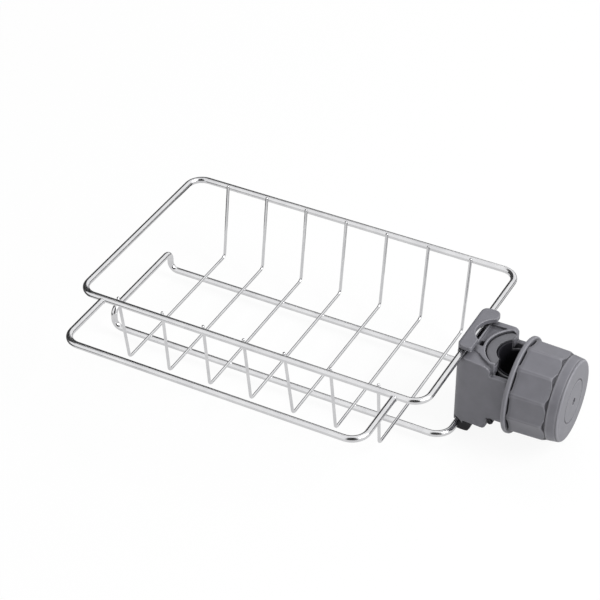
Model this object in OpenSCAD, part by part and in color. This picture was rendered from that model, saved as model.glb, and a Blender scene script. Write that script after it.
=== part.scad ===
// Sponge holder: a welded wire basket with a towel bar, hung on a faucet by a screw clamp.
// The origin is on the axis of the faucet pipe, at the height of the knob's axis.
// X runs from the basket to the knob, Y to the back and Z up. Sizes are in millimetres.

/* [Basket] */
// Length of the basket over the rim wires
basket_length = 172; // [150:1:190]
// Depth of the basket over the rim wires
basket_depth = 105.4; // [95:0.2:120]
// Depth over everything, from the towel bar to the back rim wire
overall_depth = 138; // [132:1:150]
// Diameter of the thick wire of the rim, the bottom frame and the towel bar
frame_wire_d = 3; // [2.6:0.1:3.4]
// Diameter of the thin cross wires
cross_wire_d = 1.4; // [1:0.1:1.8]
// Number of cross wires
cross_wire_count = 7; // [5:1:9]
// Distance of the first cross wire from the centreline of the rim's left side
first_wire_inset = 19.2; // [14:0.2:26]
// Distance of the last cross wire from the centreline of the rim's right side
last_wire_inset = 23; // [18:0.2:30]
// How far each cross wire's bottom corner stands in from the rim's centreline
basket_draw_in = 7.4; // [5:0.2:10]
// Bend radius of the rim's corners
rim_bend_r = 7.5; // [5:0.5:9]

/* [Bottom frame] */
// Height of the rim's centreline over the bottom frame's centreline
frame_drop = 38.5; // [37:0.5:42]
// Distance between the centrelines of the two bottom rails
rail_spacing = 50.8; // [44:0.4:60]
// Rise of the bottom frame's left end bar over the rails
end_bar_rise = 10; // [9:0.5:14]
// Bend radius of the bottom frame's right corners
frame_bend_r = 8; // [5:0.5:10]
// Bend radius at the raised left end
end_bend_r = 4; // [3:0.2:4.4]

/* [Towel bar] */
// Distance between the centrelines of the towel bar's arms
towel_bar_width = 143.4; // [120:0.2:146]
// Distance of the towel bar's left arm from the centreline of the rim's left side
towel_bar_inset = 12.6; // [10:0.2:15]
// Bend radius of the towel bar's corners
towel_bend_r = 7.5; // [5:0.5:10]

/* [Clamp body] */
// Width of the clamp body, front to back
clamp_width = 30; // [29.6:0.1:31]
// Height of the rim's centreline over the knob's axis
rim_height = 17.8; // [17:0.1:19]
// Distance of the rim's right wire from the pipe's axis
wire_to_pipe = 21.7; // [21.4:0.1:23]
// Thickness of plastic outside the wire, towards the basket
lip_wall = 1.5; // [1.3:0.1:2.2]
// Half of the height of the two threaded arms
arm_half_height = 11.6; // [11:0.1:12]
// Thickness of an arm, front to back
arm_wall = 2.7; // [2.4:0.1:2.9]
// Length of the thread that is still in the knob when the jaw is at its widest
thread_grip = 6; // [5:0.5:7]
// Distance of the body's shoulder from the pipe's axis
shoulder_reach = 7.5; // [7:0.1:8.2]
// Radius of the rounded corners on the basket side
body_corner_r = 6.8; // [5:0.2:8]
// Thickness of the hook over the rim wire
hook_wall = 2.3; // [1.8:0.1:2.8]
// Radius of the round cut-out in the hook
hook_cut_r = 9.8; // [9:0.1:10.4]

/* [Pipe seat] */
// Radius of the rubber-lined seat that takes the pipe
seat_r = 8.8; // [8.5:0.1:9]
// Thickness of the rubber lining
lining_wall = 0.8; // [0.6:0.1:0.9]
// Thickness of the liner's sleeve
sleeve_wall = 1.2; // [1:0.1:1.3]
// Radius of the liner's flat top flange
flange_r = 14.2; // [13.8:0.1:14.4]
// Thickness of the liner's top flange
flange_wall = 1.2; // [1:0.1:1.6]

/* [Jaw] */
// Travel of the jaw from fully tightened to its widest
jaw_travel = 10; // [8:0.5:11]
// Half of the rubber pad's width
pad_half_width = 8; // [7.4:0.1:8.1]
// Half of the rubber pad's height
pad_half_height = 9; // [8:0.1:9.6]
// Thickness of the rubber pad
pad_wall = 5; // [4.6:0.1:5.4]
// Radius of the pad's hollow face
pad_face_r = 13; // [12:0.1:16]
// Half of the jaw block's height
jaw_half_height = 10; // [9.6:0.1:10.4]
// Radius of the swivel screw's shank
swivel_r = 2.5; // [2:0.1:3]
// Radius of the swivel screw's head
swivel_head_r = 5; // [4.4:0.1:6]

/* [Knob] */
// Radius of the knob's flange
knob_flange_r = 22; // [21.6:0.1:24]
// Thickness of the knob's flange
knob_flange_wall = 2.1; // [1.8:0.1:2.6]
// Radius over the ridges next to the flange
ridge_r = 20.6; // [20.4:0.1:20.9]
// Distance of a flat's middle from the axis, next to the flange
flat_r = 20.05; // [20:0.05:20.2]
// Number of flats round the knob
flat_count = 11; // [9:1:13]
// Length of the knob over everything
knob_length = 25; // [24.6:0.1:26]
// Length of the fluted grip together with the flange
grip_length = 19.4; // [19:0.1:20]
// Radius of the smooth collar next to the grip
collar_r = 19.3; // [19.2:0.05:19.4]
// Radius of the smooth collar at its end
collar_end_r = 18.6; // [18.4:0.1:18.9]
// Radius of the knob's threaded bore
knob_bore_r = 18; // [17.8:0.05:18.1]

/* [Hidden] */
$fn = 72;

// Clearances and overruns
overrun = 1;          // how far a cut runs past what it cuts
weld_sink = 0.2;      // how deep two welded wires run into each other
wire_fit = 0.08;      // radial room round a wire in its groove
seat_fit = 0.1;       // room between the liner and the body, and between the lining and the liner
slide_gap = 0.4;      // room between the jaw and the arms on each side
thrust_gap = 0.2;     // axial room of the swivel screw's head and of the washer
swivel_fit = 0.08;    // radial room of the swivel screw in the knob
thread_room = 0.8;    // radial room that the thread takes between the arms and the knob
shoulder_gap = 0.3;   // room between the knob and the arms' shoulder when tightened
plug_fit = 0.1;       // radial room of the cap's plug in the knob

// Basket
frame_r = frame_wire_d / 2;
cross_r = cross_wire_d / 2;
rim_z = rim_height;
rim_right = -wire_to_pipe;
rim_left = rim_right + frame_wire_d - basket_length;
rim_half = (basket_depth - frame_wire_d) / 2;
rail_half = rail_spacing / 2;
rail_z = rim_z - frame_drop;
first_wire_x = rim_left + first_wire_inset;
wire_pitch = (rim_right - last_wire_inset - first_wire_x) / (cross_wire_count - 1);
cross_bend_r = 2.5;   // bend radius of a cross wire's bottom corners
bend_ease = 0.01;     // how much thinner a cross wire's legs are than its bends
cross_rise = 1.75;    // how far a cross wire's end stands over the rim's centreline
// How far the front end of each cross wire stands aside at the rim, as a share of the wire spacing
front_lean_shares = [0, 0.08, 0.06, 0.01, -0.05, 0, 0.07];
end_bar_overhang = 0.5; // how far the raised end bar stands out past the rim's left centreline
towel_drop = 0.5;     // how far the towel bar's centreline lies under the rim's
towel_y = rim_half + frame_wire_d - overall_depth;
towel_left = rim_left + towel_bar_inset;

// Clamp body
half_width = clamp_width / 2;
groove_r = frame_r + wire_fit;
body_left = rim_right - frame_r - lip_wall;
body_right = -shoulder_reach;
front_top_drop = 0.6; // how far the body's top lies under the rim's centreline beside the hook
end_top_drop = 1.8;   // and at the shoulder
shoulder_r = 2.4;     // rounding of the shoulder's corners
belly_rise = 3.2;     // height of the body's underside over the bottom frame's centreline
nose_drop = 0.6;      // how much lower the underside lies at the shoulder
arch_r = 3.5;         // radius of the open arches where the bottom frame leaves the body
arch_depth = 3;       // how deep those arches reach in
arm_inner = half_width - arm_wall;
arm_thread_r = knob_bore_r - thread_room;
body_top = rim_z - front_top_drop;
belly_z = rail_z + belly_rise;
shoulder_top = rim_z - end_top_drop;
nose_z = belly_z - nose_drop;

// Hook over the rim wire
hook_right_reach = 4.3; // how far the hook's front leg reaches past the wire towards the pipe
hook_lobe_reach = 6.2; // and how far its back end does
hook_setback = 2.6;   // how far the hook's front end stands back from the body's front
hook_lobe_r = 3;      // rounding of the back end's right corner
hook_overhang = 2.2;  // how far the hook stands out past the body's back
hook_corner_r = 4;    // rounding of the hook's corners seen from above
hook_edge_r = 1.6;    // rounding of the hook's upper left edge
hook_cut_x = 11.3;    // distance of the cut-out's middle from the pipe's axis
hook_cut_y = 2.6;     // how far the cut-out's middle lies to the back
window_depth = 5;     // depth of the pocket beside the wire, seen through the cut-out
window_half = 6;      // half of that pocket's length
ridge_inset = 2.4;    // distance of the ridge behind that pocket from the wire's centreline
ridge_wall = 0.9;     // thickness of the ridge
hook_under = rim_z + groove_r;
hook_top = hook_under + hook_wall;
hook_right = rim_right + hook_right_reach;
hook_lobe_right = rim_right + hook_lobe_reach;
hook_front = hook_setback - half_width;
hook_back = half_width + hook_overhang;

// Liner and the raised platform round its flange
pocket_gap = 0.5;     // gap round the liner's flange
pocket_wall = 1.2;    // thickness of the platform's wall round the flange
platform_front = 13.1; // how far the platform reaches to the front
platform_bevel = 2.8; // length over which its front edge turns aside
platform_edge = [[-17.7, -7.8], [-14.6, -9.3], [-12.1, -11.3]]; // corners of its slanted front edge
recess_depth = 1.5;   // depth of the recess between the ridge and that wall
recess_front = 4;     // how far the recess reaches to the front
notch_depth = 4.5;    // depth of the small notch in the recess
notch_front = 2;      // how far the notch reaches to the front
notch_back = 1;       // and to the back
flange_drop = 0.9;    // how far the flange's top lies under the rim's centreline
flange_half = 11.6;   // half of the flange's width, where its sides are cut straight
flange_end = 6.1;     // where the flange ends, measured from the pipe's axis
tooth_r = 0.6;        // radius of the small tooth at the flange's front end
sleeve_end = 0.3;     // where the liner's arms end, past the pipe's axis
ear_end = 3.6;        // where the sleeve's ears for the liner screws end, before the pipe's axis
ear_drop = 3.2;       // how far those ears reach under the arms
lining_drop = 1;      // how far the rubber lining stays under the flange's top
sleeve_in_r = seat_r + lining_wall + seat_fit;
tooth_y = sqrt(sleeve_in_r * sleeve_in_r - flange_end * flange_end);
sleeve_r = sleeve_in_r + sleeve_wall;
seat_bore_r = sleeve_r + seat_fit;
flange_top = rim_z - flange_drop;
pocket_z = flange_top - flange_wall;
pocket_r = flange_r + pocket_gap;
pocket_half = flange_half + pocket_gap;
ridge_x = rim_right + ridge_inset;
recess_x = ridge_x + ridge_wall;
recess_z = rim_z - recess_depth;
sleeve_bottom = belly_z + seat_fit;
liner_arm_half = arm_half_height - pocket_gap;

// Clip under the bottom frame
clip_plate = 3;       // thickness of the clip's plate, let into the body's underside
clip_drop = 4.6;      // how far the clip's hook reaches under the bottom frame's centreline
clip_leg = 5.4;       // thickness of the hook's leg
clip_tip = 1;         // how far the hook reaches past the middle of the wire
clip_right_reach = 9.2; // how far the plate reaches past the wire towards the pipe
clip_corner_r = 1.6;  // rounding of the hook's lower corners
clip_half = arm_inner - seat_fit;
clip_top = belly_z + clip_plate;
clip_left = rim_right + groove_r;
clip_right = rim_right + clip_right_reach;
clip_bottom = rail_z - clip_drop;
clip_leg_right = clip_left + clip_leg;

// Screws
clip_screw_r = 1.1;   // radius of a clip screw's shank
clip_screw_head_r = 2; // radius of its head
clip_screw_head = 1.3; // height of its head
clip_screw_grip = 4;  // how deep it reaches into the body
clip_screw_y = 7;     // distance of each clip screw from the middle
clip_screw_x = (clip_leg_right + clip_right) / 2;
liner_screw_r = 0.9;  // radius of a liner screw's shank
liner_screw_head_r = 1.5; // radius of its head
liner_screw_head = 0.6; // height of its head
liner_screw_x = 5.6;  // distance of the liner screws from the pipe's axis
liner_screw_drop = 1.1; // how far their axis lies under the arms
ear_r = 1.4;          // radius of the body's ear round a liner screw
liner_screw_z = -arm_half_height - liner_screw_drop;

// Jaw and knob along the knob's axis
arm_shoulder = 1;     // where the arms' full section ends, measured from the pipe's axis
arm_reach = arm_shoulder + jaw_travel + thread_grip;
jaw_lead = 2.5;       // how far the jaw block's face lies inside the knob
washer_wall = 1.1;    // thickness of the thrust washer
washer_r = 6;         // radius of the thrust washer
washer_in_r = 2.6;    // radius of its hole
knob_web = 2;         // thickness of the knob's inner web
swivel_head = 1.8;    // height of the swivel screw's head
swivel_grip = 9;      // how deep the swivel screw reaches into the jaw block
slot_width = 1.2;     // width of the slot in its head
slot_depth = 0.8;     // depth of that slot
cap_room = 0.4;       // room between the swivel screw's head and the cap
cap_wall = 1.4;       // thickness of the cap's disc
cap_plug = 1.9;       // length of the cap's plug
cap_plug_wall = 1.2;  // thickness of the plug
cap_plug_inset = 2.2; // how far the plug's seat stands in from the collar's end
cap_edge_r = 0.9;     // rounding of the cap's edge
cap_groove_r = 10;    // radius of the ring groove in the cap
cap_groove = 0.3;     // depth of that groove and half of its width
cap_dimple_r = 1.2;   // radius of the dimple in the cap's middle
cap_dimple = 0.6;     // depth of the dimple
pad_edge_r = 2;       // rounding of the pad's front edges
jaw_corner_r = 2;     // rounding of the jaw block's long edges
ridge_taper = 0.4;    // how much lower the ridges are at the grip's end
flat_taper = 0.55;    // how much lower the flats are at the grip's end
scallop_length = 2.1; // length of the scalloped end of the grip
scallop_lip = 0.1;    // how far the grip's end stands over the collar
collar_groove = 0.5;  // width of the groove between the grip and the collar
collar_groove_depth = 0.4; // depth of that groove under the collar
flat_phase = 48;      // turn of the first flat from the top, towards the front
knob_edge_r = 0.7;    // rounding of the flange's edges
knob_face = arm_shoulder + shoulder_gap;
knob_end = knob_face + knob_length;
cap_x = knob_end - cap_wall;
web_out = cap_x - cap_room - swivel_head - thrust_gap;
web_x = web_out - knob_web;
jaw_front = knob_face + jaw_lead;
jaw_end = web_x - thrust_gap - washer_wall;
jaw_half_width = arm_inner - slide_gap;
grip_x = knob_face + knob_flange_wall;
grip_end = knob_face + grip_length;
cap_plug_r = collar_end_r - cap_plug_inset;

// Unit vector along v
function unit(v) = v / norm(v);

// Places its children at p, with their X axis along x_dir and their Z axis along z_dir
module placed(p, x_dir, z_dir) {
    y_dir = cross(z_dir, x_dir);
    multmatrix([
        [x_dir.x, y_dir.x, z_dir.x, p.x],
        [x_dir.y, y_dir.y, z_dir.y, p.y],
        [x_dir.z, y_dir.z, z_dir.z, p.z],
        [0, 0, 0, 1]
    ]) children();
}

// Round wire through the corners, laid like a wire in a bender: straight on, roll, bend, straight on.
// A closed wire has square corners and starts in the middle of its first leg. Where the corners aren't
// square, ease makes the legs a hair thinner than the bends and runs them a little way into these.
module bent_wire(corners, bends, wire_r, closed = false, ease = 0) {
    n = len(corners);
    function point(i) = corners[i % n];
    function leg(i) = unit(point(i + 1) - point(i));
    function is_bent(i) = closed || (i > 0 && i < n - 1);
    function turn(i) = acos(leg(i - 1) * leg(i));
    function bend_r(i) = bends[(i % n) % len(bends)];
    function setback(i) = is_bent(i) ? bend_r(i) * tan(turn(i) / 2) : 0;
    function half_leg() = norm(point(1) - point(0)) / 2;
    // Direction towards which the wire bends at corner i
    function towards(i) = unit(leg(i) - (leg(i) * leg(i - 1)) * leg(i - 1));
    // The same direction carried on through the bend before it
    function carried(i) = cos(turn(i)) * towards(i) - sin(turn(i)) * leg(i - 1);
    function roll(i) = i < 2 ? 0
        : atan2(cross(carried(i - 1), towards(i)) * leg(i - 1), carried(i - 1) * towards(i));
    function lead(i) = is_bent(i) ? sqrt(ease * bend_r(i)) : 0;
    last = closed ? n : n - 1;

    module lay(i) {
        whole = norm(point(i) - point(i - 1)) - (i > 1 ? setback(i - 1) : 0) - setback(i);
        straight = closed && i == 1 ? half_leg() - setback(1) : whole;
        lead_in = i > 1 ? lead(i - 1) : 0;
        translate([0, 0, -lead_in]) cylinder(r = wire_r - ease, h = lead_in + straight + lead(i));
        if (is_bent(i)) translate([0, 0, straight]) rotate([0, 0, roll(i)]) {
            translate([bend_r(i), 0, 0]) rotate([90, 0, 180])
                rotate_extrude(angle = turn(i)) translate([bend_r(i), 0]) circle(r = wire_r);
            translate([bend_r(i), 0, 0]) rotate([0, turn(i), 0]) translate([-bend_r(i), 0, 0])
                if (i < last) lay(i + 1);
                else cylinder(r = wire_r, h = half_leg() - setback(i));
        }
    }

    start = closed ? (point(0) + point(1)) / 2 : point(0);
    placed(start, towards(1), leg(0)) lay(1);
}

// Slab standing along Y between two depths, from an outline drawn in X and Z
module side_slab(front, back) {
    translate([0, back, 0]) rotate([90, 0, 0]) linear_extrude(back - front) children();
}

// Puts children that stand along Z along the knob's axis, from x on
module along_x(x) {
    translate([x, 0, 0]) rotate([0, 90, 0]) children();
}

// Outline of a square corner that a rounding of radius r takes off, with the corner at the origin
module corner_waste(r) {
    difference() {
        translate([-overrun, -overrun]) square(r + overrun);
        translate([r, r]) circle(r = r);
    }
}

// Round bar along Y through x and z
module bar_y(x, z, r, front, back) {
    translate([x, back, z]) rotate([90, 0, 0]) cylinder(r = r, h = back - front);
}

// Horseshoe outline round the pipe, open towards the knob, with its arms ending at end_x
module horseshoe(outer, inner, end_x) {
    difference() {
        union() {
            circle(r = outer);
            translate([0, -outer]) square([end_x, 2 * outer]);
        }
        circle(r = inner);
        translate([0, -inner]) square([end_x + overrun, 2 * inner]);
        translate([end_x, -outer - overrun]) square([outer + overrun, 2 * (outer + overrun)]);
    }
}

module top_rim() {
    color("silver") bent_wire([
        [rim_left, -rim_half, rim_z], [rim_right, -rim_half, rim_z],
        [rim_right, rim_half, rim_z], [rim_left, rim_half, rim_z]
    ], [rim_bend_r], frame_r, closed = true);
}

// The rails run under the basket and turn up into a raised bar at the left end
module bottom_frame() {
    end_x = rim_left - end_bar_overhang;
    end_z = rail_z + end_bar_rise;
    color("silver") bent_wire([
        [end_x, rail_half, end_z], [end_x, -rail_half, end_z],
        [end_x, -rail_half, rail_z], [rim_right, -rail_half, rail_z],
        [rim_right, rail_half, rail_z], [end_x, rail_half, rail_z]
    ], [end_bend_r, end_bend_r, end_bend_r, frame_bend_r, frame_bend_r, end_bend_r], frame_r, closed = true);
}

// The bar's arms are butt-welded to the front of the rim
module towel_bar() {
    weld_y = weld_sink - rim_half - frame_r;
    right_x = towel_left + towel_bar_width;
    z = rim_z - towel_drop;
    color("silver") bent_wire([
        [towel_left, weld_y, z], [towel_left, towel_y, z],
        [right_x, towel_y, z], [right_x, weld_y, z]
    ], [towel_bend_r], frame_r);
}

// One thin wire: it lies on the rails and is welded to the inner sides of the rim
module cross_wire(i) {
    x = first_wire_x + (i - 1) * wire_pitch;
    lean = front_lean_shares[(i - 1) % len(front_lean_shares)] * wire_pitch;
    low_z = rail_z + frame_r + cross_r - weld_sink;
    low_y = rim_half - basket_draw_in;
    rim_y = rim_half - frame_r - cross_r + weld_sink;
    high_z = rim_z + cross_rise;
    high_y = low_y + (rim_y - low_y) * (high_z - low_z) / (rim_z - low_z);
    color("silver") bent_wire([
        [x + lean, -high_y, high_z], [x, -low_y, low_z], [x, low_y, low_z], [x, high_y, high_z]
    ], [cross_bend_r], cross_r, ease = bend_ease);
}

// Outline of the body's full-height block, seen from the front
module block_outline() {
    difference() {
        polygon([
            [body_left, rail_z], [clip_left + lip_wall, rail_z], [clip_left + lip_wall, belly_z],
            [body_right, nose_z], [body_right, shoulder_top], [hook_right, body_top], [body_left, body_top]
        ]);
        translate([body_right, shoulder_top]) rotate(180) corner_waste(shoulder_r);
        translate([body_right, nose_z]) rotate(90) corner_waste(shoulder_r);
    }
}

// Outline of the block seen from above, round on the basket side
module block_plan() {
    difference() {
        translate([body_left, -half_width]) square([body_right - body_left, clamp_width]);
        translate([body_left, -half_width]) corner_waste(body_corner_r);
        translate([body_left, half_width]) rotate(-90) corner_waste(body_corner_r);
    }
}

// Hook: a wall on the basket side of the wire and a plate over the wire, cut out in a half round
module hook() {
    low = body_top - 2 * overrun;
    height = hook_top - body_top + overrun;
    difference() {
        union() {
            translate([body_left, hook_front, body_top - overrun])
                cube([hook_right - body_left, hook_back - hook_front, height]);
            translate([body_left, hook_cut_y, body_top - overrun])
                cube([hook_lobe_right - body_left, hook_back - hook_cut_y, height]);
        }
        translate([rim_right - groove_r, -half_width - overrun, low])
            cube([hook_lobe_right - rim_right + groove_r + overrun, 2 * clamp_width, hook_under - low]);
        translate([-hook_cut_x, hook_cut_y, low]) cylinder(r = hook_cut_r, h = rim_z);
        translate([body_left, hook_front, low]) linear_extrude(rim_z) corner_waste(hook_corner_r);
        translate([body_left, hook_back, low]) rotate(-90) linear_extrude(rim_z) corner_waste(hook_corner_r);
        translate([hook_lobe_right, hook_back, low])
            rotate(180) linear_extrude(rim_z) corner_waste(hook_lobe_r);
        side_slab(-clamp_width, clamp_width)
            translate([body_left, hook_top]) rotate(-90) corner_waste(hook_edge_r);
    }
}

// The threaded arms: full section up to the shoulder, then turned down for the thread
module arms() {
    for (side = [-1, 1]) difference() {
        translate([-shoulder_reach - overrun, side > 0 ? arm_inner : -half_width, -arm_half_height])
            cube([shoulder_reach + overrun + arm_reach, arm_wall, 2 * arm_half_height]);
        along_x(arm_shoulder) difference() {
            cylinder(r = clamp_width, h = arm_reach);
            translate([0, 0, -overrun]) cylinder(r = arm_thread_r, h = arm_reach + 2 * overrun);
        }
    }
}

// Outline of the seat's pocket: a circle cut straight at the front and the back
module pocket_plan(r, half) {
    intersection() {
        circle(r = r);
        translate([-r, -half]) square([2 * r, 2 * half]);
    }
}

// Raised platform round the flange, with its right end standing on the arms
module platform() {
    low = arm_half_height - overrun;
    difference() {
        translate([0, 0, low]) linear_extrude(rim_z - low) polygon(concat(
            [[-flange_end, half_width], [ridge_x, half_width], [ridge_x, platform_edge[0].y]],
            platform_edge,
            [[-flange_end - platform_bevel, -platform_front], [-flange_end, -platform_front]]
        ));
        side_slab(0, clamp_width) translate([-flange_end, rim_z]) rotate(180) corner_waste(shoulder_r);
    }
}

// Recess between the ridge and the platform's wall round the flange, with a deeper notch
module recess() {
    difference() {
        union() {
            translate([recess_x, -recess_front, recess_z])
                cube([pocket_r, recess_front + pocket_half, recess_depth + overrun]);
            translate([recess_x, -notch_front, rim_z - notch_depth])
                cube([pocket_r, notch_front + notch_back, notch_depth + overrun]);
        }
        translate([0, 0, recess_z - notch_depth]) cylinder(r = pocket_r + pocket_wall, h = rim_z);
    }
}

module clamp_body() {
    color("dimgray") difference() {
        union() {
            intersection() {
                side_slab(-half_width, half_width) block_outline();
                translate([0, 0, clip_bottom]) linear_extrude(hook_top - clip_bottom) block_plan();
            }
            platform();
            hook();
            arms();
            for (side = [-1, 1]) bar_y(-liner_screw_x, liner_screw_z, ear_r,
                side > 0 ? arm_inner : -half_width, side > 0 ? half_width : -arm_inner);
        }
        recess();
        // Seat of the liner and of its flange
        translate([0, 0, clip_bottom]) cylinder(r = seat_bore_r, h = hook_top - clip_bottom);
        translate([0, 0, pocket_z]) linear_extrude(hook_top) pocket_plan(pocket_r, pocket_half);
        // Grooves of the two wires
        bar_y(rim_right, rim_z, groove_r, -clamp_width, clamp_width);
        bar_y(rim_right, rail_z, groove_r, -clamp_width, clamp_width);
        for (front = [-half_width - overrun, half_width - arch_depth])
            bar_y(rim_right, rail_z, arch_r, front, front + arch_depth + overrun);
        translate([rim_right - groove_r, hook_cut_y - window_half, body_top - window_depth])
            cube([groove_r + ridge_inset, 2 * window_half, window_depth + overrun]);
        // Room for the clip and its screws
        translate([clip_left, -arm_inner, clip_bottom])
            cube([clip_right - clip_left, 2 * arm_inner, clip_top - clip_bottom]);
        for (side = [-1, 1]) translate([clip_screw_x, side * clip_screw_y, clip_top - overrun])
            cylinder(r = clip_screw_r, h = clip_screw_grip + overrun);
        bar_y(-liner_screw_x, liner_screw_z, liner_screw_r, -clamp_width, clamp_width);
    }
}

// Room between two heights, from the given distance before the pipe's axis on towards the knob
module beside(reach, low, high) {
    side = flange_r + overrun;
    translate([-reach, -side, low]) cube([2 * side, 2 * side, high - low]);
}

// Horseshoe sleeve with a flat top flange, let into the body
module seat_liner() {
    color("gray") difference() {
        union() {
            translate([0, 0, sleeve_bottom]) linear_extrude(flange_top - sleeve_bottom)
                horseshoe(sleeve_r, sleeve_in_r, sleeve_end);
            translate([0, 0, pocket_z]) linear_extrude(flange_wall) difference() {
                pocket_plan(flange_r, flange_half);
                circle(r = sleeve_in_r);
            }
            translate([-flange_end - tooth_r, -tooth_y, flange_top - lining_drop + seat_fit])
                cylinder(r = tooth_r, h = lining_drop - seat_fit);
        }
        beside(flange_end, liner_arm_half, liner_arm_half + flange_r);
        beside(flange_end, -arm_half_height - ear_drop - flange_r, -arm_half_height - ear_drop);
        beside(ear_end, -liner_arm_half - flange_r, -liner_arm_half);
        bar_y(-liner_screw_x, liner_screw_z, liner_screw_r, -flange_r, flange_r);
    }
}

module seat_pad() {
    color("black") difference() {
        translate([0, 0, sleeve_bottom]) linear_extrude(flange_top - lining_drop - sleeve_bottom)
            horseshoe(seat_r + lining_wall, seat_r, sleeve_end);
        beside(flange_end, liner_arm_half, liner_arm_half + flange_r);
        beside(flange_end, -liner_arm_half - flange_r, -liner_arm_half);
    }
}

// Outline of the clip: a plate under the body and a hook that holds the bottom frame from below
module clip_outline() {
    difference() {
        polygon([
            [clip_left, clip_top], [clip_left, rail_z], [rim_right - clip_tip, rail_z],
            [rim_right - clip_tip, clip_bottom], [clip_leg_right - clip_corner_r, clip_bottom],
            [clip_leg_right, belly_z], [clip_right, belly_z], [clip_right, clip_top]
        ]);
        translate([rim_right, rail_z]) circle(r = groove_r);
        translate([rim_right - clip_tip, clip_bottom]) corner_waste(clip_corner_r);
        translate([clip_leg_right - clip_corner_r, clip_bottom]) rotate(90) corner_waste(clip_corner_r);
    }
}

module lower_clip() {
    color("dimgray") difference() {
        side_slab(-clip_half, clip_half) clip_outline();
        for (side = [-1, 1]) translate([clip_screw_x, side * clip_screw_y, clip_bottom])
            cylinder(r = clip_screw_r, h = clip_top - clip_bottom + overrun);
    }
}

// Pan-head screws that hold the clip from below
module clip_screws() {
    low_z = belly_z - clip_screw_head;
    color("silver") for (side = [-1, 1]) translate([clip_screw_x, side * clip_screw_y, low_z]) {
        cylinder(r = clip_screw_head_r, h = clip_screw_head);
        cylinder(r = clip_screw_r, h = clip_screw_head + clip_plate + clip_screw_grip);
    }
}

// Small screws through the arms' ears and the sleeve, that stop the liner from lifting out
module liner_screws() {
    tip_x = liner_screw_x - liner_screw_r;
    reach = half_width + liner_screw_head - sqrt(sleeve_in_r * sleeve_in_r - tip_x * tip_x) - seat_fit;
    head_y = half_width + liner_screw_head;
    color("black") for (side = [-1, 1])
        translate([-liner_screw_x, side * head_y, liner_screw_z]) rotate([90 * side, 0, 0]) {
            cylinder(r = liner_screw_head_r, h = liner_screw_head);
            cylinder(r = liner_screw_r, h = reach);
        }
}

// Outline of a rectangle with round corners, about the origin
module round_box(half_x, half_y, r) {
    difference() {
        square([2 * half_x, 2 * half_y], center = true);
        for (x = [-1, 1], y = [-1, 1]) translate([x * half_x, y * half_y])
            mirror([x > 0 ? 1 : 0, 0]) mirror([0, y > 0 ? 1 : 0]) corner_waste(r);
    }
}

module jaw_block() {
    color("dimgray") difference() {
        along_x(jaw_front) linear_extrude(jaw_end - jaw_front)
            round_box(jaw_half_height, jaw_half_width, jaw_corner_r);
        along_x(jaw_end - swivel_grip) cylinder(r = swivel_r, h = swivel_grip + overrun);
    }
}

// Rubber pad with a hollow face that presses on the pipe
module jaw_pad() {
    front = jaw_front - pad_wall;
    color("black") translate([0, 0, -pad_half_height]) linear_extrude(2 * pad_half_height) difference() {
        translate([front, -pad_half_width]) square([pad_wall, 2 * pad_half_width]);
        translate([front, -pad_half_width]) corner_waste(pad_edge_r);
        translate([front, pad_half_width]) rotate(-90) corner_waste(pad_edge_r);
        face_half = pad_half_width - pad_edge_r;
        translate([front - sqrt(pad_face_r * pad_face_r - face_half * face_half), 0]) circle(r = pad_face_r);
    }
}

// Screw on which the knob turns: its head draws the jaw along with the knob
module swivel_screw() {
    head_x = web_out + thrust_gap;
    shank_x = jaw_end - swivel_grip;
    color("silver") difference() {
        union() {
            along_x(head_x) cylinder(r = swivel_head_r, h = swivel_head);
            along_x(shank_x) cylinder(r = swivel_r, h = head_x - shank_x + overrun);
        }
        translate([head_x + swivel_head - slot_depth, -slot_width / 2, -swivel_head_r - overrun])
            cube([slot_depth + overrun, slot_width, 2 * (swivel_head_r + overrun)]);
    }
}

module thrust_washer() {
    color("silver") along_x(jaw_end) difference() {
        cylinder(r = washer_r, h = washer_wall);
        translate([0, 0, -overrun]) cylinder(r = washer_in_r, h = washer_wall + 2 * overrun);
    }
}

// Tapered body of the grip, cut into flats all round and scalloped at its end
module grip() {
    length = grip_end - grip_x;
    tilt = atan(flat_taper / length);
    difference() {
        along_x(grip_x - overrun) rotate_extrude() polygon([
            [0, 0], [ridge_r, 0], [ridge_r, overrun],
            [ridge_r - ridge_taper, overrun + length - scallop_length],
            [collar_r + scallop_lip, overrun + length], [0, overrun + length]
        ]);
        for (i = [0:flat_count - 1]) rotate([flat_phase + i * 360 / flat_count, 0, 0])
            translate([grip_x, 0, flat_r]) rotate([0, tilt, 0])
                translate([0, -ridge_r, 0]) cube([length + overrun, 2 * ridge_r, ridge_r]);
    }
}

// Flange disc with rounded edges
module knob_flange() {
    r = knob_edge_r;
    along_x(knob_face) rotate_extrude() union() {
        square([knob_flange_r - r, knob_flange_wall]);
        translate([0, r]) square([knob_flange_r, knob_flange_wall - 2 * r]);
        for (y = [r, knob_flange_wall - r]) translate([knob_flange_r - r, y]) circle(r = r);
    }
}

module knob_shell() {
    color("dimgray") difference() {
        union() {
            knob_flange();
            grip();
            along_x(grip_end - overrun) cylinder(r = collar_r, h = overrun);
            along_x(grip_end) cylinder(r1 = collar_r, r2 = cap_base_r(), h = cap_x - grip_end);
        }
        along_x(knob_face - overrun) cylinder(r = knob_bore_r, h = web_x - knob_face + overrun);
        along_x(web_x - overrun) cylinder(r = swivel_r + swivel_fit, h = knob_web + 2 * overrun);
        along_x(web_out) cylinder(r = cap_plug_r, h = knob_length);
        along_x(grip_end - collar_groove) difference() {
            cylinder(r = knob_flange_r, h = collar_groove);
            translate([0, 0, -overrun])
                cylinder(r = collar_r - collar_groove_depth, h = collar_groove + 2 * overrun);
        }
    }
}

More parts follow.
